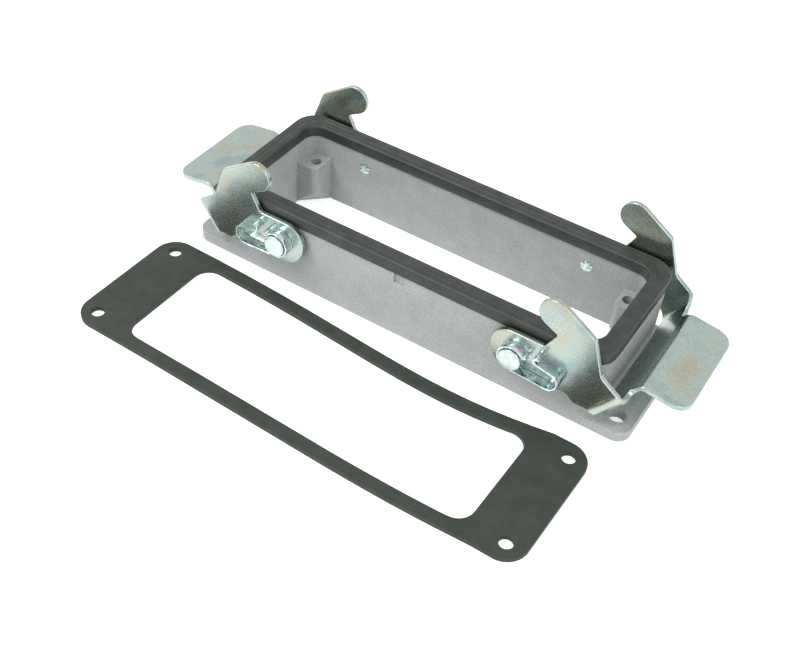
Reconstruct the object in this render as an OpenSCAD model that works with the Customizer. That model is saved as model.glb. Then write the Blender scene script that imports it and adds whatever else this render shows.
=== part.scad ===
// Bulkhead housing of a heavy duty rectangular connector, 24 pole size, with its
// two sheet metal locking levers, the rubber seal on its rim and the loose
// gasket that goes under its flange. Millimetres. The origin is the middle of
// the flange's hole pattern on the panel face, +Z points out of the panel, +X
// runs along the housing. Both levers stand open at rest.

/* [Housing] */
// Length of the clear opening
cavity_l = 112.6; // [106:0.2:124]
// Width of the clear opening
cavity_w = 35; // [33:0.5:40]
// Thickness of the two short walls
end_wall = 4.1; // [3.6:0.1:5]
// Thickness of the two long walls
side_wall = 4.5; // [4:0.1:5.5]
// Height of the cast rim above the panel
rim_z = 23.9; // [23:0.1:27]
// Corner radius of the clear opening, seen from above
cavity_r = 4.8; // [3:0.1:6]
// Corner radius of the outside of the walls
body_r = 6.2; // [5:0.1:8]
// Depth of the small recess under the seal, in the middle of each long wall
notch_d = 0.6; // [0.3:0.1:1]

/* [Flange] */
// How far the flange stands out at each end
flange_out = 9.6; // [9:0.1:14]
// Thickness of the flange
flange_t = 3.3; // [2.5:0.1:4.5]
// Corner radius of the flange
flange_r = 4; // [2:0.5:6]
// Distance between the flange holes along the housing
flange_hole_x = 130; // [128:0.5:133]
// Distance between the flange holes across the housing
flange_hole_y = 32; // [28:0.5:34]
// Diameter of the flange holes
flange_hole_d = 4.8; // [4.2:0.1:5.5]

/* [Insert bosses] */
// Distance between the insert screws along the housing
insert_x = 104; // [98:0.5:105]
// Distance between the insert screws across the housing
insert_y = 27; // [24:0.5:27.5]
// Core diameter of the tapped hole
insert_core_d = 3.3; // [2.5:0.1:3.4]
// Height of the boss tops above the panel
boss_z = 15; // [12:0.5:18]
// Height of the straight part of a boss
boss_h = 8; // [6:0.5:9]

/* [Rim seal] */
// Thickness of the seal above the rim
seal_pad = 1.5; // [1:0.1:2.5]
// Thickness of the lips that hug the wall
seal_lip = 0.45; // [0.4:0.05:0.8]
// How far the lips reach down the wall
seal_grip = 2.1; // [1.5:0.1:3]

/* [Levers] */
// Distance of the pivots from the middle of the housing
pivot_x = 37.1; // [35:0.1:39]
// Height of the pivots above the panel
pivot_z = 16.7; // [16:0.1:18]
// Thickness of the lever's sheet
sheet = 1.5; // [1.2:0.1:1.8]
// Gap between a long wall and the lever's arm
arm_gap = 1; // [0.6:0.1:1.4]
// Radius of the round end of an arm at its pivot
pivot_end_r = 7.4; // [6.8:0.1:7.8]
// Slope of the web that joins the arms, lever open
web_slope = 54; // [50:1:58]
// Inner radius of the bends between web and arms
bend_r = 3.6; // [2.5:0.1:4.5]
// Clearance of the web's lower edge as it swings over the seal
sweep_gap = 0.6; // [0.4:0.1:1.5]
// Width of the tab that a hand pushes
tab_w = 33; // [26:0.5:34]
// Length of the flat part of the tab
tab_l = 11.2; // [8:0.2:16]
// How far the tab droops below level, lever open
tab_droop = 8; // [0:1:15]
// Corner radius of the tab
tab_r = 4.5; // [2:0.5:6]

/* [Pivot pins] */
// Diameter of the shank that the lever turns on
pin_d = 6.5; // [5.5:0.1:7]
// Diameter of the stud that is staked through the wall
stud_d = 3; // [2.5:0.1:4]
// Radial clearance of the lever and the spring on the shank
pin_fit = 0.1; // [0.05:0.01:0.2]
// Length of the head outside the spring
pin_head = 0.4; // [0.3:0.1:1]

/* [Detent springs] */
// Thickness of the spring strip
strip = 0.6; // [0.4:0.05:0.8]
// Width of the spring strip, which stands on the arm
strip_w = 3; // [2:0.1:4]
// Distance of the spring's small loop from the pivot
loop_reach = 10.9; // [9.5:0.1:12]
// Outer radius of the spring's small loop
loop_r = 3.1; // [2.5:0.1:3.5]
// Direction of the small loop below level, lever open
loop_angle = 8.4; // [4:0.2:14]

/* [Flange gasket] */
// How far the gasket reaches past the middles of its holes at each end
gasket_lap_x = 5.4; // [4:0.1:13]
// How far the gasket reaches past the middles of its holes at each side
gasket_lap_y = 5; // [4:0.1:8]
// Thickness of the gasket
gasket_t = 1.6; // [1:0.1:2.5]
// Width of the two short ends, outside the opening
gasket_end = 16.1; // [14:0.1:18]
// Width of the two long rails
gasket_rail = 3.9; // [3:0.1:5]
// Corner radius of the gasket
gasket_r = 6.5; // [2:0.5:8]
// Diameter of the gasket's holes, which grip the flange screws
gasket_hole_d = 3.8; // [3.2:0.1:5]
// Sideways bow of the far rail as the gasket lies
far_bow = 3.5; // [0:0.1:4]
// Sideways bow of the near rail as the gasket lies
near_bow = 1.2; // [0:0.1:3]
// Gap on the table between the housing and the gasket
gasket_gap = 6.8; // [6:0.1:20]
// How far the gasket lies off the housing's middle
gasket_shift = -4.7; // [-10:0.1:10]
// Turn of the gasket on the table
gasket_turn = -1; // [-3:0.1:3]

/* [Hidden] */
$fn = 64;

// Housing
body_l = cavity_l + 2 * end_wall;
body_w = cavity_w + 2 * side_wall;
flange_l = body_l + 2 * flange_out;
root_fillet = 1.2;
boss_wall_x = 1.1;
boss_wall_y = 2.3;
boss_x = insert_core_d / 2 + boss_wall_x;
boss_y = insert_core_d / 2 + boss_wall_y;
boss_r = 2.2;
boss_undercut = 52;
boss_floor = 1;
insert_depth = boss_h - boss_floor;
arc_step = 8;
notch_l = 3.2;
notch_h = 3.4;

// Rim seal
seal_l = body_l + 2 * seal_lip;
seal_w = body_w + 2 * seal_lip;
seal_top = rim_z + seal_pad;
seal_low = rim_z - seal_grip;
seal_edge = 0.7;
seal_half_share = 0.4;

// Lever: s runs from the pivot square to the web, t runs along the web's slope
arm_in = body_w / 2 + arm_gap;
arm_out = arm_in + sheet;
arm_low = 6.2;
arm_high = 17.6;
web_low = 6.9;
web_flat = 12.6;
web_bend_t = 16.7;
neck_r = 1.6;
web_high = web_bend_t - neck_r;
tab_bend_r = 2;
web_r = 6;
ramp = 1.8;
web_turn = 90 - web_slope;
seal_reach = norm([seal_l / 2 - pivot_x, seal_top - pivot_z]);
web_in = ceil(100 * sqrt(pow(seal_reach + sweep_gap, 2) - pow(web_low, 2))) / 100;
web_out = web_in + sheet;
arm_end = web_in - bend_r;
bend_y = arm_in - bend_r;
tab_centre = [web_out + tab_bend_r, web_bend_t];
tab_bend = web_slope + tab_droop;

// Arm seen from the side, lever open: x from the pivot towards the web, z up
arm_top = 6.4;
arm_end_r = 5.8;
throat_x = 7.2;
throat_r = 1;
mouth_x = 10.1;
mouth_z = 11.8;
mouth_r = 0.6;
finger_x = 8.3;
finger_z = 17.7;
finger_r = 4.4;
back_x = 19.7;
back_z = 15.5;
back_r = 2.5;
back_l = 5.2;
foot_r = 3;
heel_l = 3.2;
heel_drop = 0.3;
heel_run = 5.6;
heel_rise = 1.9;
heel_r = 2;
heel_fillet = 2.5;

// Pivot pins
shoulder_lap = 1.2;
shoulder_d = pin_d + 2 * shoulder_lap;
shoulder_play = 0.1;
shoulder_t = arm_gap - shoulder_play;
groove_w = 0.35;
groove_d = 0.35;
head_edge = 0.3;
pin_end = arm_out + strip_w + groove_w + pin_head;
stake_out = 0.25;
stake_lap = 0.3;
stake_d = stud_d + 2 * stake_lap;
spring_r = pin_d / 2 + pin_fit + strip;

// Gasket
gasket_l = flange_hole_x + 2 * gasket_lap_x;
gasket_w = flange_hole_y + 2 * gasket_lap_y;
gasket_y = -(body_w / 2 + gasket_gap + gasket_w / 2);
gasket_open_r = 4.8;
bow_end = 12;
bow_span = gasket_l / 2 - bow_end;
bow_lean = 2;
bow_steps = 20;

// ---------------------------------------------------------------- helpers

function unit(v) = v / norm(v);

// Points on an arc round centre, from the angle start through sweep
function arc(centre, r, start, sweep) =
    let (steps = ceil(abs(sweep) / arc_step))
    [for (k = [0:steps]) centre + r * [cos(start + sweep * k / steps), sin(start + sweep * k / steps)]];

// The arc that rounds the corner b of the path a, b, c, where b = [x, y, radius]
function corner(a, b, c) =
    let (p = [b.x, b.y], r = b[2])
    r == 0 ? [p] :
    let (u = unit([a.x, a.y] - p), v = unit([c.x, c.y] - p),
        half = acos(u * v) / 2,
        centre = p + unit(u + v) * r / sin(half),
        from = p + u * r / tan(half) - centre,
        to = p + v * r / tan(half) - centre,
        start = atan2(from.y, from.x),
        raw = atan2(to.y, to.x) - start)
    arc(centre, r, start, raw > 180 ? raw - 360 : raw < -180 ? raw + 360 : raw);

// A closed path of [x, y, radius] points with its corners rounded
function rounded(path) =
    let (n = len(path))
    [for (i = [0:n - 1]) each corner(path[(i + n - 1) % n], path[i], path[(i + 1) % n])];

// A point of the lever's side view, from the pivot, by its s and t, and back again
function st(s, t) = [s * cos(web_turn) + t * sin(web_turn), t * cos(web_turn) - s * sin(web_turn)];
function to_st(p) = [p.x * cos(web_turn) - p.y * sin(web_turn), p.y * cos(web_turn) + p.x * sin(web_turn)];

// Outline of a rectangle with round corners, centred
module rounded_rect(l, w, r) {
    square([l, w - 2 * r], center = true);
    square([l - 2 * r, w], center = true);
    for (x = [-1, 1], y = [-1, 1])
        translate([x * (l / 2 - r), y * (w / 2 - r)]) circle(r);
}

// Carries a section along a rounded rectangle: its x = 0 lies on the outline, x > 0 outside
module around(l, w, r) {
    for (turn = [0, 180]) rotate([0, 0, turn]) {
        translate([l / 2, w / 2 - r, 0]) upright(w - 2 * r) children();
        rotate([0, 0, 90]) translate([w / 2, l / 2 - r, 0]) upright(l - 2 * r) children();
        translate([l / 2 - r, w / 2 - r, 0]) rotate_extrude(angle = 90) translate([r, 0]) children();
        rotate([0, 0, 90]) translate([w / 2 - r, l / 2 - r, 0])
            rotate_extrude(angle = 90) translate([r, 0]) children();
    }
}

// Drawing in x and z, standing upright from y = 0 towards -y
module upright(depth) {
    rotate([90, 0, 0]) linear_extrude(depth) children();
}

// A child drawn for x > 0, y > 0, at all four corners
module at_corners() {
    for (mx = [0, 1], my = [0, 1])
        mirror([mx, 0, 0]) mirror([0, my, 0]) children();
}

// A child drawn for the front right pivot, at the side chosen by x and y
module at_pivot(x, y) {
    mirror([x < 0 ? 1 : 0, 0, 0]) mirror([0, y > 0 ? 1 : 0, 0])
        translate([pivot_x, 0, pivot_z]) children();
}

// ---------------------------------------------------------------- housing

// Boss for an insert screw, with its undercut foot, in the corner x > 0, y > 0
module boss() {
    low = [insert_x / 2 - boss_x, insert_y / 2 - boss_y];
    high = [cavity_l / 2 + end_wall / 2, cavity_w / 2 + side_wall / 2];
    far = boss_z + cavity_w;
    difference() {
        linear_extrude(boss_z)
            polygon(rounded([[low.x, low.y, boss_r], [high.x, low.y, 0], [high.x, high.y, 0], [low.x, high.y, 0]]));
        translate([low.x, low.y, boss_z - boss_h]) rotate([0, 0, 45]) rotate([0, boss_undercut, 0])
            translate([0, -far, -far]) cube([far, 2 * far, far]);
    }
}

// Cove at the foot of an end wall, where it meets the flange
module root_cove() {
    f = root_fillet;
    straight = body_w - 2 * body_r;
    intersection() {
        union() {
            translate([body_l / 2, straight / 2, flange_t]) upright(straight) cove_section(f);
            for (side = [-1, 1])
                translate([body_l / 2 - body_r, side * straight / 2, flange_t])
                    rotate([0, 0, side > 0 ? 0 : -90])
                        rotate_extrude(angle = 90) translate([body_r, 0]) cove_section(f);
        }
        linear_extrude(flange_t + f) rounded_rect(flange_l, body_w, flange_r);
    }
}

module cove_section(f) {
    difference() {
        square(f);
        translate([f, f]) circle(f);
    }
}

module housing() {
    color([0.73, 0.73, 0.74])
    difference() {
        union() {
            difference() {
                union() {
                    linear_extrude(flange_t) rounded_rect(flange_l, body_w, flange_r);
                    linear_extrude(rim_z) rounded_rect(body_l, body_w, body_r);
                    for (mx = [0, 1]) mirror([mx, 0, 0]) root_cove();
                }
                translate([0, 0, -1]) linear_extrude(rim_z + 2) rounded_rect(cavity_l, cavity_w, cavity_r);
            }
            at_corners() boss();
        }
        at_corners() {
            translate([flange_hole_x / 2, flange_hole_y / 2, -1]) cylinder(d = flange_hole_d, h = flange_t + 2);
            translate([insert_x / 2, insert_y / 2, boss_z - insert_depth])
                cylinder(d = insert_core_d, h = insert_depth + 1);
            translate([pivot_x, body_w / 2 + 1, pivot_z])
                rotate([90, 0, 0]) cylinder(d = stud_d, h = side_wall + 2);
        }
        // Recess under the seal, in the middle of each long wall
        for (side = [-1, 1])
            translate([-notch_l / 2, side * body_w / 2 - notch_d, seal_low - notch_h])
                cube([notch_l, 2 * notch_d, notch_h]);
    }
}

// ---------------------------------------------------------------- seals

// Half of the seal's section: lip, rounded upper edge and half of the pad, towards -x
module seal_half(width) {
    polygon(concat(
        [[0, seal_low]], [for (a = [0:15:90]) [-seal_edge, seal_top - seal_edge] + seal_edge * [cos(a), sin(a)]],
        [[-width, seal_top], [-width, rim_z], [-seal_lip, rim_z], [-seal_lip, seal_low]]));
}

module rim_seal() {
    half = seal_lip + min(end_wall, side_wall) * seal_half_share;
    in_l = cavity_l - 2 * seal_lip;
    in_w = cavity_w - 2 * seal_lip;
    in_r = cavity_r - seal_lip;
    out_r = body_r + seal_lip;
    color([0.10, 0.10, 0.11]) union() {
        around(seal_l, seal_w, out_r) seal_half(half);
        around(in_l, in_w, in_r) mirror([1, 0]) seal_half(half);
        translate([0, 0, rim_z]) linear_extrude(seal_pad) difference() {
            rounded_rect(seal_l - 2 * half, seal_w - 2 * half, out_r - half);
            rounded_rect(in_l + 2 * half, in_w + 2 * half, in_r + half);
        }
    }
}

// Sideways bow of a gasket rail at x: none at its ends, most past the middle
function bow(x) = -sin(180 * pow((x + bow_span) / (2 * bow_span), bow_lean));

// One long edge of the gasket, y at its ends, bowed by amount
function bowed_edge(half, y, amount) =
    [for (k = [0:bow_steps]) let (x = half * (2 * k / bow_steps - 1)) [x, y + amount * bow(x), 0]];

function reversed(list) = [for (k = [len(list) - 1:-1:0]) list[k]];

module flange_gasket() {
    half_l = gasket_l / 2;
    half_w = gasket_w / 2;
    open_l = half_l - gasket_end;
    open_w = half_w - gasket_rail;
    flat = open_l - gasket_r;
    color([0.24, 0.26, 0.25])
    translate([gasket_shift, gasket_y, 0]) rotate([0, 0, gasket_turn])
    linear_extrude(gasket_t) difference() {
        polygon(rounded(concat(
            [[-half_l, -half_w, gasket_r]], bowed_edge(bow_span, -half_w, near_bow),
            [[half_l, -half_w, gasket_r], [half_l, half_w, gasket_r]],
            reversed(bowed_edge(bow_span, half_w, far_bow)), [[-half_l, half_w, gasket_r]])));
        polygon(rounded(concat(
            [[-open_l, -open_w, gasket_open_r]], bowed_edge(flat, -open_w, near_bow),
            [[open_l, -open_w, gasket_open_r], [open_l, open_w, gasket_open_r]],
            reversed(bowed_edge(flat, open_w, far_bow)), [[-open_l, open_w, gasket_open_r]])));
        for (x = [-1, 1], y = [-1, 1])
            translate([x * flange_hole_x / 2, y * flange_hole_y / 2]) circle(d = gasket_hole_d);
    }
}

// ---------------------------------------------------------------- levers

// Direction from the middle of a circle to where a line from a point touches it
function tangent_angle(centre, r, point, turn) =
    let (d = point - centre)
    atan2(d.y, d.x) + turn * acos(r / norm(d));

// Side view of an arm in s and t: round end, hook mouth, finger, back and heel
module arm_outline() {
    r = pivot_end_r;
    back = st(arm_end - back_l, arm_high);
    top = st(arm_end, arm_high);
    heel = st(arm_end, arm_low);
    finger = [finger_x, finger_z];
    start = tangent_angle(finger, finger_r, [mouth_x, mouth_z], -1);
    end = tangent_angle(finger, finger_r, [back_x, back_z], 1);
    path = rounded(concat(
        [[-r, arm_top, arm_end_r], [throat_x, arm_top, throat_r], [mouth_x, mouth_z, mouth_r]],
        [for (p = arc(finger, finger_r, start, end - start - 360)) [p.x, p.y, 0]],
        [[back_x, back_z, back_r],
        [back.x, back.y, foot_r],
        [top.x, top.y, 0],
        [heel.x, heel.y, 0],
        [heel.x - heel_l, heel.y - heel_drop, heel_r],
        [heel.x - heel_run, heel.y + heel_rise, heel_fillet],
        [0, -r, 0],
        [-r, -r, r]]));
    difference() {
        polygon([for (p = path) to_st(p)]);
        circle(pin_d / 2 + pin_fit);
    }
}

// Front view of the web, x is t: lower edge, then the upper corners beside the neck of the tab
module web_outline() {
    half_tab = tab_w / 2;
    function side(m) = [
        [web_low, m * web_flat, web_r],
        [arm_low, m * (web_flat + bend_y) / 2, web_r],
        [arm_low, m * bend_y, 0],
        [web_high, m * bend_y, 0],
        [web_high, m * half_tab, neck_r],
        [web_bend_t, m * half_tab, 0]];
    polygon(rounded(concat(side(1), reversed(side(-1)))));
}

// A quarter of sheet bent round the t axis, between two heights
module bend_quarter(low, high) {
    translate([0, 0, low]) rotate_extrude(angle = 90)
        translate([bend_r, 0]) square([sheet, high - low]);
}

// The bend between the web and an arm, its upper edge falling along a slope towards the web
module arm_bend() {
    rise = arm_high - web_high;
    bend_quarter(arm_low, web_high);
    difference() {
        bend_quarter(web_high, arm_high);
        rotate([0, 0, 135]) upright(2 * (bend_r + sheet)) polygon([
            [3 * ramp, arm_high + rise], [-3 * ramp, web_high - rise], [-3 * ramp, arm_high + rise]]);
    }
}

// Side view of the tab and its bend: x is s, y is t. The tab is drawn long, and trimmed at its tip
module tab_section() {
    outer = tab_bend_r + sheet;
    lean = 180 - tab_bend;
    along = (tab_l + sheet) * [sin(lean), -cos(lean)];
    inside = arc(tab_centre, tab_bend_r, 180, -tab_bend);
    outside = arc(tab_centre, outer, lean, tab_bend);
    polygon(concat(inside, [inside[len(inside) - 1] + along, outside[0] + along], outside));
}

// The tab that a hand pushes, with its outer corners rounded
module tab() {
    tip = st(tab_centre.x, tab_centre.y)
        + tab_l * [cos(tab_droop), -sin(tab_droop)]
        + (tab_bend_r + sheet) * [sin(tab_droop), cos(tab_droop)];
    intersection() {
        rotate([0, web_turn, 0]) translate([0, tab_w / 2, 0]) upright(tab_w) tab_section();
        translate([tip.x - tab_w, 0, tip.y - tab_w])
            linear_extrude(2 * tab_w) rounded_rect(2 * tab_w, tab_w, tab_r);
    }
}

// The right lever, from the middle of its pivot line: one folded sheet
module lever() {
    rotate([0, web_turn, 0]) {
        for (my = [0, 1]) mirror([0, my, 0]) {
            translate([0, -arm_in, 0]) upright(sheet) arm_outline();
            translate([arm_end, bend_y, 0]) arm_bend();
        }
        translate([web_out, 0, 0]) rotate([0, -90, 0]) linear_extrude(sheet) web_outline();
    }
    tab();
}

module lever_right() {
    color([0.70, 0.71, 0.66]) translate([pivot_x, 0, pivot_z]) lever();
}

module lever_left() {
    color([0.66, 0.68, 0.64]) mirror([1, 0, 0]) translate([pivot_x, 0, pivot_z]) lever();
}

// ---------------------------------------------------------------- pivot pins

// A pin staked through the wall, drawn along its axis from the middle of the housing
module pivot_pin(x, y) {
    inside = cavity_w / 2;
    outside = body_w / 2;
    shank = pin_d / 2;
    head = pin_end - pin_head;
    color([0.82, 0.82, 0.84])
    at_pivot(x, y) rotate([90, 0, 0]) rotate_extrude() polygon([
        [0, inside - stake_out], [stake_d / 2 - stake_out, inside - stake_out], [stake_d / 2, inside],
        [stud_d / 2, inside], [stud_d / 2, outside],
        [shoulder_d / 2, outside], [shoulder_d / 2, outside + shoulder_t],
        [shank, outside + shoulder_t], [shank, head - groove_w],
        [shank - groove_d, head - groove_w], [shank - groove_d, head],
        [shank, head], [shank, pin_end - head_edge], [shank - head_edge, pin_end], [0, pin_end]]);
}

module pin_left_front() pivot_pin(-1, -1);
module pin_left_rear() pivot_pin(-1, 1);
module pin_right_front() pivot_pin(1, -1);
module pin_right_rear() pivot_pin(1, 1);

// ---------------------------------------------------------------- detent springs

// Outline of a belt round two circles: radius big at the pivot, small at the loop
module belt(big, small) {
    lean = acos((big - small) / loop_reach);
    rotate(-loop_angle) polygon(concat(
        arc([0, 0], big, lean, 360 - 2 * lean), arc([loop_reach, 0], small, -lean, 2 * lean)));
}

// A strip spring that grips the pin and stands on the outside of the arm
module detent_spring(x, y) {
    color([0.84, 0.84, 0.86])
    at_pivot(x, y) translate([0, -arm_out, 0]) upright(strip_w) difference() {
        belt(spring_r, loop_r);
        belt(spring_r - strip, loop_r - strip);
    }
}

module spring_left_front() detent_spring(-1, -1);
module spring_left_rear() detent_spring(-1, 1);
module spring_right_front() detent_spring(1, -1);
module spring_right_rear() detent_spring(1, 1);

housing();
rim_seal();
flange_gasket();
lever_left();
lever_right();
pin_left_front();
pin_left_rear();
pin_right_front();
pin_right_rear();
spring_left_front();
spring_left_rear();
spring_right_front();
spring_right_rear();
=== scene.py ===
"""Looks of the bulkhead connector housing: finishes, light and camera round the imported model."""

import logging
import math
from dataclasses import dataclass, field
from enum import Enum

import bmesh
import bpy
import numpy as np
from mathutils import Euler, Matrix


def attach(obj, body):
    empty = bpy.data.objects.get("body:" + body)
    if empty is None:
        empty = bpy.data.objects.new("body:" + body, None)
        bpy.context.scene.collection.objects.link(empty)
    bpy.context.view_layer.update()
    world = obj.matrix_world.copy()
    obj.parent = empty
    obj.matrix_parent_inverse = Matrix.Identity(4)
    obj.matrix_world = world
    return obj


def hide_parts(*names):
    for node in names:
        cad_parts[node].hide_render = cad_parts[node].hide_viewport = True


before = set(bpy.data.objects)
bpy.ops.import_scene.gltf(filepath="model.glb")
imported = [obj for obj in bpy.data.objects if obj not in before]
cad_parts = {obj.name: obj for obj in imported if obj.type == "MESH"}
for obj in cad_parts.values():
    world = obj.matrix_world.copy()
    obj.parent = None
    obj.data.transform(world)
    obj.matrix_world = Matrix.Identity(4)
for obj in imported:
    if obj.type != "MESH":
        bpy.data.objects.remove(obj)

LOG = logging.getLogger("connector")
MM = 0.001
FULL_TURN = 2 * math.pi
JOIN_WITHIN = 0.004 * MM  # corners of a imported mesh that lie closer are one
FLAT_WITHIN = 0.6  # degrees between two faces that count as one flat
BEVEL_FACES = 2
SHARP_EDGE = 35.0  # degrees above which an edge gets its rounding


class Side(Enum):
    """The end of the housing that a lever sits at, by the sign of its x."""

    LEFT = -1
    RIGHT = 1


class Face(Enum):
    """The long wall that a pin or a spring sits on, by the sign of its y."""

    FRONT = -1
    REAR = 1


# ---------------------------------------------------------------- mesh tools


def mesh_piece(name: str, points: np.ndarray, faces: list[list[int]]) -> bpy.types.Object:
    """Makes a mesh object at the world origin.

    Args:
        name: the piece's name.
        points: vertex places in metres, shape (n, 3).
        faces: vertex numbers of each face.

    Returns:
        The new object, linked to the scene.
    """
    mesh = bpy.data.meshes.new(name)
    mesh.from_pydata(points.tolist(), [], faces)
    mesh.update()
    piece = bpy.data.objects.new(name, mesh)
    bpy.context.scene.collection.objects.link(piece)
    return piece


def grid_faces(rows: int, columns: int, loop_rows: bool, loop_columns: bool) -> list[list[int]]:
    """Numbers the four-sided faces of a grid of points.

    Args:
        rows: points along the first parameter.
        columns: points along the second parameter.
        loop_rows: whether the last row joins the first.
        loop_columns: whether the last column joins the first.

    Returns:
        The faces, each turning from a column to the next and then to the next row.
    """
    i = np.arange(rows if loop_rows else rows - 1)[:, None]
    j = np.arange(columns if loop_columns else columns - 1)[None, :]
    near, far = i * columns, (i + 1) % rows * columns
    after = (j + 1) % columns
    corners = [near + j, near + after, far + after, far + j]
    return np.stack([np.broadcast_to(c, (i.size, j.size)) for c in corners], -1).reshape(-1, 4).tolist()


def arc(centre: tuple[float, float], radius: float, start: float, sweep: float, count: int) -> np.ndarray:
    """Spaces points evenly on an arc: the centre plus radius times the cosine and sine of the angle.

    Args:
        centre: the arc's middle in its plane.
        radius: its radius.
        start: the first point's angle in degrees.
        sweep: the angle that it runs through, turning left if positive.
        count: how many points.

    Returns:
        Points, shape (count, 2).
    """
    angle = np.radians(np.linspace(start, start + sweep, count))
    return np.array(centre) + radius * np.stack([np.cos(angle), np.sin(angle)], -1)


def rounded_rectangle(length: float, width: float, radius: float, count: int) -> np.ndarray:
    """Draws a rectangle with round corners, count points on each, turning left from its right side.

    Args:
        length: size along x.
        width: size along y.
        radius: corner radius.
        count: points on each corner.

    Returns:
        Points, shape (4 * count, 2).
    """
    x, y = length / 2 - radius, width / 2 - radius
    middles = [(x, y), (-x, y), (-x, -y), (x, -y)]
    return np.concatenate([arc(middle, radius, 90 * k, 90, count) for k, middle in enumerate(middles)])


def swept(name: str, rings: np.ndarray, closed: bool) -> bpy.types.Object:
    """Skins rings of points into one closed mesh, with its faces turned outwards.

    Args:
        name: the piece's name.
        rings: points in metres, shape (rings, points of a ring, 3).
        closed: whether the last ring joins the first; otherwise both ends get a cap.

    Returns:
        The new object.
    """
    count, around = rings.shape[:2]
    faces = grid_faces(count, around, closed, True)
    if not closed:
        faces += [list(range(around))[::-1], list(range((count - 1) * around, count * around))]
    piece = mesh_piece(name, rings.reshape(-1, 3), faces)
    work = bmesh.new()
    work.from_mesh(piece.data)
    bmesh.ops.recalc_face_normals(work, faces=work.faces)
    work.to_mesh(piece.data)
    work.free()
    return piece


def smooth(piece: bpy.types.Object, sharp: float) -> None:
    """Shades a mesh smooth, but for edges sharper than an angle in degrees."""
    piece.data.shade_smooth()
    piece.data.set_sharp_from_angle(angle=math.radians(sharp))


def merged_copy(node: str, name: str) -> bpy.types.Object:
    """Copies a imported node, joins its loose triangles and melts the flat ones together.

    Args:
        node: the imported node's name.
        name: the new piece's name.

    Returns:
        The copy, a closed mesh of flat and curved faces.
    """
    piece = bpy.data.objects.new(name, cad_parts[node].data.copy())
    piece.data.name = name
    bpy.context.scene.collection.objects.link(piece)
    work = bmesh.new()
    work.from_mesh(piece.data)
    bmesh.ops.remove_doubles(work, verts=work.verts, dist=JOIN_WITHIN)
    bmesh.ops.dissolve_limit(work, angle_limit=math.radians(FLAT_WITHIN), verts=work.verts, edges=work.edges)
    bmesh.ops.recalc_face_normals(work, faces=work.faces)
    work.to_mesh(piece.data)
    work.free()
    for layer in list(piece.data.attributes):
        if layer.name in ("custom_normal", "sharp_edge", "sharp_face"):
            piece.data.attributes.remove(layer)
    piece.data.materials.clear()
    return piece


def round_edges(piece: bpy.types.Object, width: float) -> None:
    """Rounds every sharp edge and shades the rest smooth.

    Args:
        piece: the mesh object.
        width: how far the rounding reaches from an edge, in metres.
    """
    piece.data.shade_smooth()
    bevel = piece.modifiers.new("rolled edges", "BEVEL")
    bevel.width = width
    bevel.segments = BEVEL_FACES
    bevel.limit_method = "ANGLE"
    bevel.angle_limit = math.radians(SHARP_EDGE)
    bevel.harden_normals = True
    bevel.use_clamp_overlap = True


def seat(piece: bpy.types.Object, body: str, slot: str, material: bpy.types.Material, *nodes: str) -> None:
    """Gives a piece its finish and hands it to the body and nodes that it stands for.

    Args:
        piece: the mesh object.
        body: the body that it moves with.
        slot: a material slot's name; not used.
        material: its finish.
        nodes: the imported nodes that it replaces.
    """
    piece.data.materials.clear()
    piece.data.materials.append(material)
    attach(piece, body)
    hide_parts(*nodes)
    LOG.info("%s: %d faces on %s", piece.name, len(piece.data.polygons), body)


# ---------------------------------------------------------------- finishes


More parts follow.
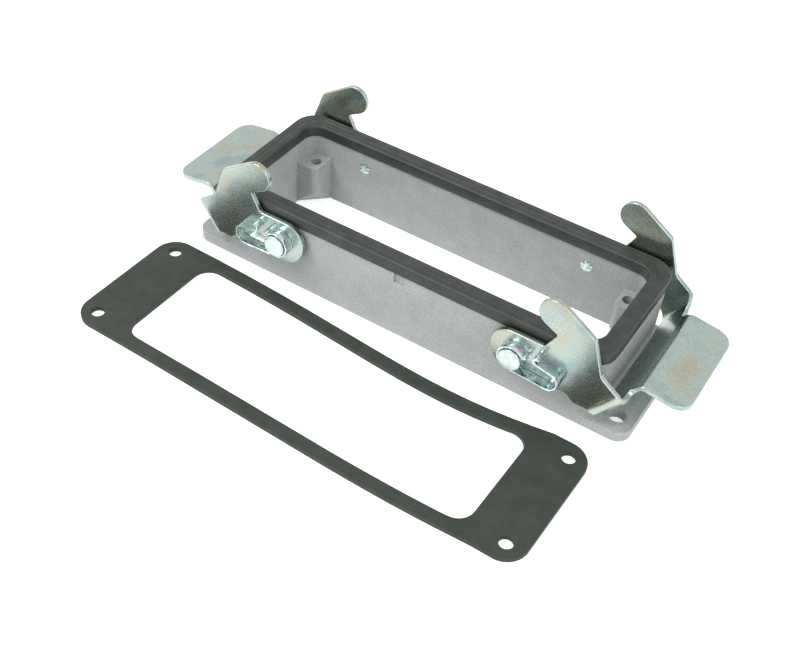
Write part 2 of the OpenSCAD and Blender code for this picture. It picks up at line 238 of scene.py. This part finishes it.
class Graph:
    """A material's node tree, with short ways to add and join its nodes."""

    def __init__(self, name: str) -> None:
        """Starts a material that holds a Principled shader and its output."""
        self.material = bpy.data.materials.new(name)
        self.material.use_nodes = True
        self.tree = self.material.node_tree
        self.shader = self.tree.nodes["Principled BSDF"]
        self.place = self.add("ShaderNodeTexCoord").outputs["Object"]

    def add(self, kind: str, **settings: object) -> bpy.types.Node:
        """Adds a node and sets its properties.

        Args:
            kind: the node's type name.
            settings: properties of the node by name.

        Returns:
            The new node.
        """
        node = self.tree.nodes.new(kind)
        for key, value in settings.items():
            setattr(node, key, value)
        return node

    def link(self, source: bpy.types.NodeSocket, target: bpy.types.NodeSocket) -> None:
        """Joins an output to an input."""
        self.tree.links.new(source, target)

    def noise(
        self, size: float, detail: float, stretch: tuple[float, float, float] = (1, 1, 1)
    ) -> bpy.types.NodeSocket:
        """Adds a soft noise.

        Args:
            size: about the width of one blot, in metres.
            detail: octaves of finer noise on top.
            stretch: how many times wider the blots are along x, y and z.

        Returns:
            The noise, from 0 to 1.
        """
        mapping = self.add("ShaderNodeMapping")
        mapping.inputs["Scale"].default_value = [1 / (size * s) for s in stretch]
        self.link(self.place, mapping.inputs["Vector"])
        noise = self.add("ShaderNodeTexNoise")
        noise.inputs["Scale"].default_value = 1.0
        noise.inputs["Detail"].default_value = detail
        self.link(mapping.outputs["Vector"], noise.inputs["Vector"])
        return noise.outputs["Fac"]

    def ramp(
        self, source: bpy.types.NodeSocket, *stops: tuple[float, tuple[float, float, float]]
    ) -> bpy.types.NodeSocket:
        """Turns a value into colours.

        Args:
            source: the value, from 0 to 1.
            stops: the places of the colours with the colours.

        Returns:
            The colour.
        """
        ramp = self.add("ShaderNodeValToRGB")
        while len(ramp.color_ramp.elements) < len(stops):
            ramp.color_ramp.elements.new(0.5)
        for element, (position, colour) in zip(ramp.color_ramp.elements, stops):
            element.position = position
            element.color = (*colour, 1.0)
        self.link(source, ramp.inputs["Fac"])
        return ramp.outputs["Color"]

    def speckle(self, colour: bpy.types.NodeSocket, size: float, dark: float) -> bpy.types.NodeSocket:
        """Sprinkles a colour with fine darker grains.

        Args:
            colour: the ground colour.
            size: about the width of one grain, in metres.
            dark: the colour's share that is left in the darkest grains.

        Returns:
            The colour with its grains.
        """
        mix = self.add("ShaderNodeMix", data_type="RGBA", blend_type="MULTIPLY")
        mix.inputs[0].default_value = 1.0
        self.link(colour, mix.inputs[6])
        self.link(self.ramp(self.noise(size, 1), (0.36, (dark,) * 3), (0.60, (1.0,) * 3)), mix.inputs[7])
        return mix.outputs[2]

    def span(self, source: bpy.types.NodeSocket, low: float, high: float) -> bpy.types.NodeSocket:
        """Stretches a value that runs from 0 to 1, so that it runs from low to high."""
        span = self.add("ShaderNodeMapRange")
        span.inputs["To Min"].default_value = low
        span.inputs["To Max"].default_value = high
        self.link(source, span.inputs["Value"])
        return span.outputs["Result"]

    def bump(
        self, source: bpy.types.NodeSocket, height: float, under: bpy.types.NodeSocket | None = None
    ) -> bpy.types.NodeSocket:
        """Raises the surface by a value.

        Args:
            source: the value.
            height: how high a value of 1 stands, in metres.
            under: the normal of the relief below this one.

        Returns:
            The normal.
        """
        bump = self.add("ShaderNodeBump")
        bump.inputs["Strength"].default_value = 1.0
        bump.inputs["Distance"].default_value = height
        self.link(source, bump.inputs["Height"])
        if under is not None:
            self.link(under, bump.inputs["Normal"])
        return bump.outputs["Normal"]


@dataclass(frozen=True)
class CastPaint:
    """Light grey powder coat with a fine hammered skin."""

    grey: tuple[float, float, float] = (0.51, 0.535, 0.53)
    shade: tuple[float, float, float] = (0.45, 0.48, 0.475)
    dimple: float = 0.8 * MM
    depth: float = 0.06 * MM

    def material(self) -> bpy.types.Material:
        """Builds the finish: dimples in relief, and a faint cloudiness in the grey."""
        g = Graph("housing_paint")
        cloud = g.ramp(g.noise(6 * MM, 3), (0.3, self.shade), (0.7, self.grey))
        g.link(g.speckle(cloud, 0.45 * MM, 0.76), g.shader.inputs["Base Color"])
        g.link(g.span(g.noise(2 * MM, 2), 0.38, 0.55), g.shader.inputs["Roughness"])
        coarse = g.bump(g.noise(self.dimple, 1), self.depth)
        g.link(g.bump(g.noise(0.25 * MM, 2), 0.006 * MM, coarse), g.shader.inputs["Normal"])
        return g.material


@dataclass(frozen=True)
class Rubber:
    """Moulded or cut rubber: a dark ground with cloudy wear."""

    name: str
    dark: tuple[float, float, float]
    pale: tuple[float, float, float]
    roughness: float
    grain: float

    def material(self) -> bpy.types.Material:
        """Builds the finish: cloudy colour and a fine matt grain."""
        g = Graph(self.name)
        cloud = g.ramp(g.noise(5 * MM, 4), (0.35, self.dark), (0.7, self.pale))
        g.link(g.speckle(cloud, 0.4 * MM, 0.72), g.shader.inputs["Base Color"])
        rough = g.span(g.noise(1.5 * MM, 3), self.roughness - 0.08, self.roughness + 0.08)
        g.link(rough, g.shader.inputs["Roughness"])
        g.link(g.bump(g.noise(self.grain, 3), 0.01 * MM), g.shader.inputs["Normal"])
        return g.material


@dataclass(frozen=True)
class ZincPlate:
    """Passivated zinc on folded sheet: satin metal with a faint green and yellow cast."""

    steel: tuple[float, float, float] = (0.46, 0.55, 0.51)
    green: tuple[float, float, float] = (0.34, 0.45, 0.43)
    straw: tuple[float, float, float] = (0.48, 0.48, 0.37)

    def material(self) -> bpy.types.Material:
        """Builds the finish: drifting tint, fine crystalline mottle and a satin roughness."""
        g = Graph("lever_zinc")
        tint = g.ramp(g.noise(9 * MM, 3), (0.3, self.green), (0.5, self.steel), (0.72, self.straw))
        g.link(g.speckle(tint, 0.35 * MM, 0.80), g.shader.inputs["Base Color"])
        g.shader.inputs["Metallic"].default_value = 1.0
        g.link(g.span(g.noise(0.6 * MM, 3), 0.19, 0.33), g.shader.inputs["Roughness"])
        waves = g.bump(g.noise(14 * MM, 1), 0.35 * MM)
        g.link(g.bump(g.noise(0.4 * MM, 2), 0.006 * MM, waves), g.shader.inputs["Normal"])
        return g.material


@dataclass(frozen=True)
class BrightSteel:
    """Bright plated steel of the pins and springs, with a thin film's tints; on the springs the tints also hold
    painted dark and bright reflections.
    """

    name: str
    film: tuple[tuple[float, float, float], ...]
    roughness: float

    def material(self) -> bpy.types.Material:
        """Builds the finish: tints that drift over a few millimetres, which on the springs include painted
        reflections, and fine draw marks.
        """
        g = Graph(self.name)
        stops = [(0.3 + 0.4 * k / (len(self.film) - 1), c) for k, c in enumerate(self.film)]
        g.link(g.ramp(g.noise(2.4 * MM, 2), *stops), g.shader.inputs["Base Color"])
        g.shader.inputs["Metallic"].default_value = 1.0
        rough = g.span(g.noise(0.5 * MM, 2), self.roughness - 0.05, self.roughness + 0.05)
        g.link(rough, g.shader.inputs["Roughness"])
        g.link(g.bump(g.noise(0.2 * MM, 2, (1, 8, 1)), 0.002 * MM), g.shader.inputs["Normal"])
        return g.material


PIN_STEEL = BrightSteel("pin_steel", ((0.52, 0.62, 0.58), (0.66, 0.76, 0.72)), 0.30)
# On the springs the dark teal and bright mint stops are painted reflections of dark and light surroundings; the
# magenta is a tint of the film itself.
SPRING_STEEL_PAINTED_REFLECTIONS = BrightSteel(
    "spring_steel", ((0.26, 0.37, 0.40), (0.72, 0.84, 0.82), (0.40, 0.52, 0.55), (0.74, 0.54, 0.72)), 0.13)


# ---------------------------------------------------------------- sub-assemblies


@dataclass
class CastHousing:
    """The die cast shell with its flange and bosses."""

    edge: float = 0.35 * MM
    paint: CastPaint = field(default_factory=CastPaint)

    def build(self) -> bpy.types.Object:
        """Makes the shell with the small roundings that a casting and its paint leave on every edge."""
        shell = merged_copy("housing", "housing_shell")
        round_edges(shell, self.edge)
        seat(shell, "base", "housing_paint", self.paint.material(), "housing")
        return shell


@dataclass
class RimSeal:
    """The moulded seal that caps the rim, with two soft ribs along its top."""

    length: float = 121.7 * MM
    width: float = 44.9 * MM
    corner: float = 6.65 * MM
    inner_length: float = 111.7 * MM
    inner_width: float = 34.1 * MM
    inner_corner: float = 4.35 * MM
    band: float = 5.2 * MM
    low: float = 21.8 * MM
    rim: float = 23.9 * MM
    top: float = 25.4 * MM
    lip: float = 0.45 * MM
    shoulder: float = 0.7 * MM
    rib: float = 0.10 * MM
    rubber: Rubber = Rubber("seal_rubber", (0.024, 0.030, 0.026), (0.050, 0.058, 0.050), 0.46, 0.3 * MM)

    def section(self) -> np.ndarray:
        """Draws the seal's section: how far in from its outer edge, and how high.

        The top is a cosine of two waves across the band, between two quarter circles.

        Returns:
            Points round the section, shape (n, 2).
        """
        band, lip, shoulder = self.band, self.lip, self.shoulder
        outer = arc((shoulder, self.top - shoulder), shoulder, 180, -80, 7)
        inner = arc((band - shoulder, self.top - shoulder), shoulder, 80, -80, 7)
        across = np.linspace(shoulder, band - shoulder, 17)
        wave = self.top - self.rib * (0.5 + 0.5 * np.cos(2 * FULL_TURN * (across - shoulder) / (band - 2 * shoulder)))
        crown = np.stack([across, wave], -1)
        foot_out = arc((lip / 2, self.low + lip / 2), lip / 2, 0, -180, 7)
        foot_in = arc((band - lip / 2, self.low + lip / 2), lip / 2, 0, -180, 7)
        under = np.array([[band - lip, self.rim], [lip, self.rim]])
        return np.concatenate([outer, crown, inner, foot_in, under, foot_out])

    def build(self) -> bpy.types.Object:
        """Carries the section round the rim, between the outer and the inner outline.

        A point of the surface is the outer outline plus its share of the step to the inner one.

        Returns:
            The seal.
        """
        outer = rounded_rectangle(self.length, self.width, self.corner, 13)
        inner = rounded_rectangle(self.inner_length, self.inner_width, self.inner_corner, 13)
        section = self.section()
        share = section[:, 0] / self.band
        flat = outer[:, None] + (inner - outer)[:, None] * share[None, :, None]
        height = np.broadcast_to(section[:, 1], flat.shape[:2])[..., None]
        seal = swept("rim_seal_moulding", np.concatenate([flat, height], -1), True)
        smooth(seal, 50)
        seat(seal, "base", "seal_rubber", self.rubber.material(), "rim_seal")
        return seal


@dataclass
class FlangeGasket:
    """The loose flat gasket that goes under the flange."""

    edge: float = 0.2 * MM
    rubber: Rubber = Rubber("gasket_rubber", (0.030, 0.040, 0.030), (0.045, 0.056, 0.045), 0.68, 0.3 * MM)

    def build(self) -> bpy.types.Object:
        """Makes the gasket with lightly worn cut edges."""
        gasket = merged_copy("flange_gasket", "flange_gasket_sheet")
        round_edges(gasket, self.edge)
        seat(gasket, "base", "gasket_rubber", self.rubber.material(), "flange_gasket")
        return gasket


@dataclass
class LockingLever:
    """One folded sheet with two hook arms, a web and a tab."""

    side: Side
    edge: float = 0.3 * MM

    def build(self, plate: bpy.types.Material) -> bpy.types.Object:
        """Makes the lever with tumbled edges."""
        word = self.side.name.lower()
        lever = merged_copy(f"lever_{word}", f"locking_lever_{word}")
        round_edges(lever, self.edge)
        seat(lever, f"{word}_lever", "lever_zinc", plate, f"lever_{word}")
        return lever


@dataclass
class PivotPin:
    """One turned pin, staked through a long wall."""

    side: Side
    face: Face
    pivot_x: float = 37.1 * MM
    pivot_z: float = 16.7 * MM
    inside: float = 17.5 * MM
    outside: float = 22.0 * MM
    end: float = 28.25 * MM
    shank: float = 3.25 * MM
    stud: float = 1.5 * MM
    stake: float = 1.8 * MM
    stake_out: float = 0.25 * MM
    shoulder: float = 4.45 * MM
    shoulder_t: float = 0.9 * MM
    groove: float = 0.35 * MM
    head: float = 0.4 * MM
    dome: float = 0.12 * MM
    dents: int = 6
    dent_share: float = 0.6
    around: int = 48

    def profile(self) -> np.ndarray:
        """Draws half of the pin's outline: radius, and distance from the middle of the housing.

        Returns:
            Points from the staked end to the middle of the domed face, shape (n, 2).
        """
        edge = self.head - 0.1 * MM
        neck = self.end - self.head
        staked = [[0, self.inside - self.stake_out], [0.45 * self.stake, self.inside - self.stake_out],
                  [0.86 * self.stake, self.inside - self.stake_out], [self.stake, self.inside - 0.3 * self.stake_out],
                  [self.stake, self.inside], [self.stud, self.inside], [self.stud, self.outside]]
        body = [[self.shoulder, self.outside], [self.shoulder, self.outside + self.shoulder_t],
                [self.shank, self.outside + self.shoulder_t], [self.shank, neck - self.groove],
                [self.shank - self.groove, neck - self.groove], [self.shank - self.groove, neck], [self.shank, neck]]
        rim = arc((self.shank - edge, self.end - self.dome - edge), edge, 0, 84, 6)
        radius = np.linspace(self.shank - edge - 0.05 * MM, 0, 12)
        crown = self.end - self.dome * (radius / self.shank) ** 2
        return np.concatenate([np.array(staked), np.array(body), rim, np.stack([radius, crown], -1)])

    def build(self, steel: bpy.types.Material) -> bpy.types.Object:
        """Turns the outline round the pin's axis, and presses the staking punch's dents into its inner end.

        A point of the surface is the radius times the cosine and sine of the angle, at its distance along
        the axis; the dents add a cosine of six waves round the stake's edge.

        Args:
            steel: the pin's finish.

        Returns:
            The pin.
        """
        radius, along = self.profile().T
        angle = np.linspace(0, FULL_TURN, self.around, endpoint=False)
        dent = np.zeros_like(along)
        dent[1:3] = self.stake_out * self.dent_share
        reach = along[:, None] + dent[:, None] * (0.5 + 0.5 * np.cos(self.dents * angle))
        x = self.side.value * self.pivot_x + radius[:, None] * np.cos(angle)
        z = self.pivot_z + radius[:, None] * np.sin(angle)
        rings = np.stack([x, self.face.value * reach, z], -1)
        word = f"{self.side.name.lower()}_{self.face.name.lower()}"
        pin = swept(f"pivot_pin_{word}", rings[1:-1], False)
        smooth(pin, 40)
        seat(pin, "base", "pin_steel", steel, f"pin_{word}")
        return pin


@dataclass
class DetentSpring:
    """One strip spring: it grips its pin, runs out to a small loop and ends in a bead over the waist."""

    side: Side
    face: Face
    pivot_x: float = 37.1 * MM
    pivot_z: float = 16.7 * MM
    arm_out: float = 24.5 * MM
    strip: float = 0.6 * MM
    width: float = 3.0 * MM
    edge: float = 0.14 * MM
    grip: float = 3.65 * MM
    loop: float = 2.8 * MM
    reach: float = 10.9 * MM
    fall: float = 8.4
    flare: float = 1.0 * MM
    flare_at: float = 50.0
    flare_curl: float = 105.0
    bead: float = 0.85 * MM
    bead_curl: float = 215.0
    bead_at: float = 6.5 * MM

    def path(self) -> np.ndarray:
        """Draws the middle of the strip as its spring is bent, seen from outside the arm.

        A flared end, an arc round the pin, a straight run to the small loop, the loop, and a straight
        run back that ends in a rolled bead, all turned so that the loop hangs below level.

        Returns:
            Points in the arm's plane from the pivot, x towards the loop, shape (n, 2).
        """
        lean = math.degrees(math.acos((self.grip - self.loop) / self.reach))
        turn = math.radians(self.flare_at)
        away = self.grip + self.flare
        flare = (away * math.cos(turn), away * math.sin(turn))
        lip = arc(flare, self.flare, self.flare_at + 180 + self.flare_curl, -self.flare_curl, 10)
        wrap = arc((0, 0), self.grip, self.flare_at, 360 - lean - self.flare_at, 44)[1:]
        loop = arc((self.reach, 0), self.loop, -lean, 2 * lean, 30)
        slope = math.radians(90 - lean)
        start = loop[-1]
        run = (start[0] - self.bead_at) / math.cos(slope)
        heel = start + run * np.array([-math.cos(slope), math.sin(slope)])
        middle = heel + self.bead * np.array([math.sin(slope), math.cos(slope)])
        bead = arc(tuple(middle), self.bead, 270 - math.degrees(slope), -self.bead_curl, 16)
        drawn = np.concatenate([lip, wrap, loop, bead])
        fall = math.radians(self.fall)
        tilt = np.array([[math.cos(fall), -math.sin(fall)], [math.sin(fall), math.cos(fall)]])
        return drawn @ tilt

    def build(self, steel: bpy.types.Material) -> bpy.types.Object:
        """Carries the strip's section, a thin rectangle with round edges, along its path.

        A point of the surface is the path's point plus the section's first value along the path's
        normal, and the section's second value across the arm.

        Args:
            steel: the spring's finish.

        Returns:
            The spring.
        """
        path = self.path()
        along = np.gradient(path, axis=0)
        along /= np.linalg.norm(along, axis=1, keepdims=True)
        normal = np.stack([-along[:, 1], along[:, 0]], -1)
        section = rounded_rectangle(self.strip, self.width, self.edge, 4)
        flat = path[:, None] + normal[:, None] * section[None, :, :1]
        depth = self.arm_out + self.width / 2 + np.broadcast_to(section[:, 1], flat.shape[:2])
        rings = np.stack([self.side.value * (self.pivot_x + flat[..., 0]), self.face.value * depth,
                          self.pivot_z + flat[..., 1]], -1)
        word = f"{self.side.name.lower()}_{self.face.name.lower()}"
        spring = swept(f"detent_spring_{word}", rings, False)
        smooth(spring, 60)
        seat(spring, f"{self.side.name.lower()}_lever", "spring_steel", steel, f"spring_{word}")
        return spring


# ---------------------------------------------------------------- studio


def white_rays(tree: bpy.types.NodeTree) -> bpy.types.NodeSocket:
    """Finds the rays that show the white background: from the camera, off metal and through glass.

    Args:
        tree: the node tree of the floor's material or of the world.

    Returns:
        1 for those rays, 0 for the rays that light the object.
    """
    rays = tree.nodes.new("ShaderNodeLightPath")
    total = rays.outputs["Is Camera Ray"]
    for kind in ("Is Glossy Ray", "Is Transmission Ray"):
        add = tree.nodes.new("ShaderNodeMath")
        add.operation = "ADD"
        add.use_clamp = True
        tree.links.new(total, add.inputs[0])
        tree.links.new(rays.outputs[kind], add.inputs[1])
        total = add.outputs["Value"]
    return total


@dataclass
class Studio:
    """Floor, soft light and camera."""

    position: tuple[float, float, float] = (0.1134, -0.2263, 0.2270)
    turn: tuple[float, float, float] = (45.70, -3.39, 32.91)
    lens: float = 52.7
    shift: tuple[float, float] = (0.018, 0.003)
    floor_size: float = 6.0
    floor_white: float = 0.92
    floor_lift: float = 0.55
    room_light: float = 0.61

    def camera(self) -> None:
        """Places the camera, looking down along the housing from its front right."""
        data = bpy.data.cameras.new("camera")
        data.lens = self.lens
        data.sensor_width = 36.0
        data.shift_x, data.shift_y = self.shift
        data.clip_start = 0.01
        camera = bpy.data.objects.new("camera", data)
        camera.location = self.position
        camera.rotation_euler = Euler([math.radians(a) for a in self.turn])
        bpy.context.scene.collection.objects.link(camera)
        bpy.context.scene.camera = camera

    def floor(self) -> None:
        """Lays the white table, which shows as plain white and keeps the shadows."""
        half = self.floor_size / 2
        corners = np.array([[-half, -half, 0], [half, -half, 0], [half, half, 0], [-half, half, 0]])
        table = mesh_piece("table", corners, [[0, 1, 2, 3]])
        g = Graph("table_white")
        g.shader.inputs["Base Color"].default_value = (self.floor_white,) * 3 + (1.0,)
        g.shader.inputs["Roughness"].default_value = 0.8
        lift = g.add("ShaderNodeMath", operation="MULTIPLY")
        lift.inputs[1].default_value = self.floor_lift
        g.link(white_rays(g.tree), lift.inputs[0])
        g.shader.inputs["Emission Color"].default_value = (1.0, 1.0, 1.0, 1.0)
        g.link(lift.outputs["Value"], g.shader.inputs["Emission Strength"])
        table.data.materials.append(g.material)

    def world(self) -> None:
        """Fills the room with soft plain light, which looks white from the camera, in metal and through glass."""
        world = bpy.data.worlds.new("room")
        bpy.context.scene.world = world
        world.use_nodes = True
        tree = world.node_tree
        strength = tree.nodes.new("ShaderNodeMapRange")
        strength.inputs["To Min"].default_value = self.room_light
        strength.inputs["To Max"].default_value = 1.0
        tree.links.new(white_rays(tree), strength.inputs["Value"])
        ground = tree.nodes["Background"]
        ground.inputs["Color"].default_value = (1.0, 1.0, 1.0, 1.0)
        tree.links.new(strength.outputs["Result"], ground.inputs["Strength"])

    def lamp(self, name: str, place: tuple[float, float, float], size: float, power: float) -> None:
        """Hangs a square soft lamp that faces the housing.

        Args:
            name: the lamp's name.
            place: its middle, in metres.
            size: its width.
            power: its power in watts.
        """
        data = bpy.data.lights.new(name, "AREA")
        data.size = size
        data.energy = power
        lamp = bpy.data.objects.new(name, data)
        lamp.location = place
        x, y, z = place
        lamp.rotation_euler = Euler((math.atan2(math.hypot(x, y), z), 0, math.atan2(x, -y)))
        bpy.context.scene.collection.objects.link(lamp)

    def build(self) -> None:
        """Builds the whole studio, camera first."""
        self.camera()
        self.floor()
        self.world()
        self.lamp("key", (-0.5, -0.5, 0.9), 0.5, 6.4)
        self.lamp("fill", (0.7, -0.2, 0.6), 0.6, 2.5)


def main() -> None:
    """Builds the studio and dresses every part, one after the other."""
    logging.basicConfig(level=logging.INFO, format="%(message)s")
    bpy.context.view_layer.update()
    bpy.context.scene.view_settings.view_transform = "Standard"
    Studio().build()
    CastHousing().build()
    RimSeal().build()
    FlangeGasket().build()
    plate = ZincPlate().material()
    turned = PIN_STEEL.material()
    strip = SPRING_STEEL_PAINTED_REFLECTIONS.material()
    for side in Side:
        LockingLever(side).build(plate)
        for face in Face:
            PivotPin(side, face).build(turned)
            DetentSpring(side, face).build(strip)


if __name__ == "__main__":
    main()
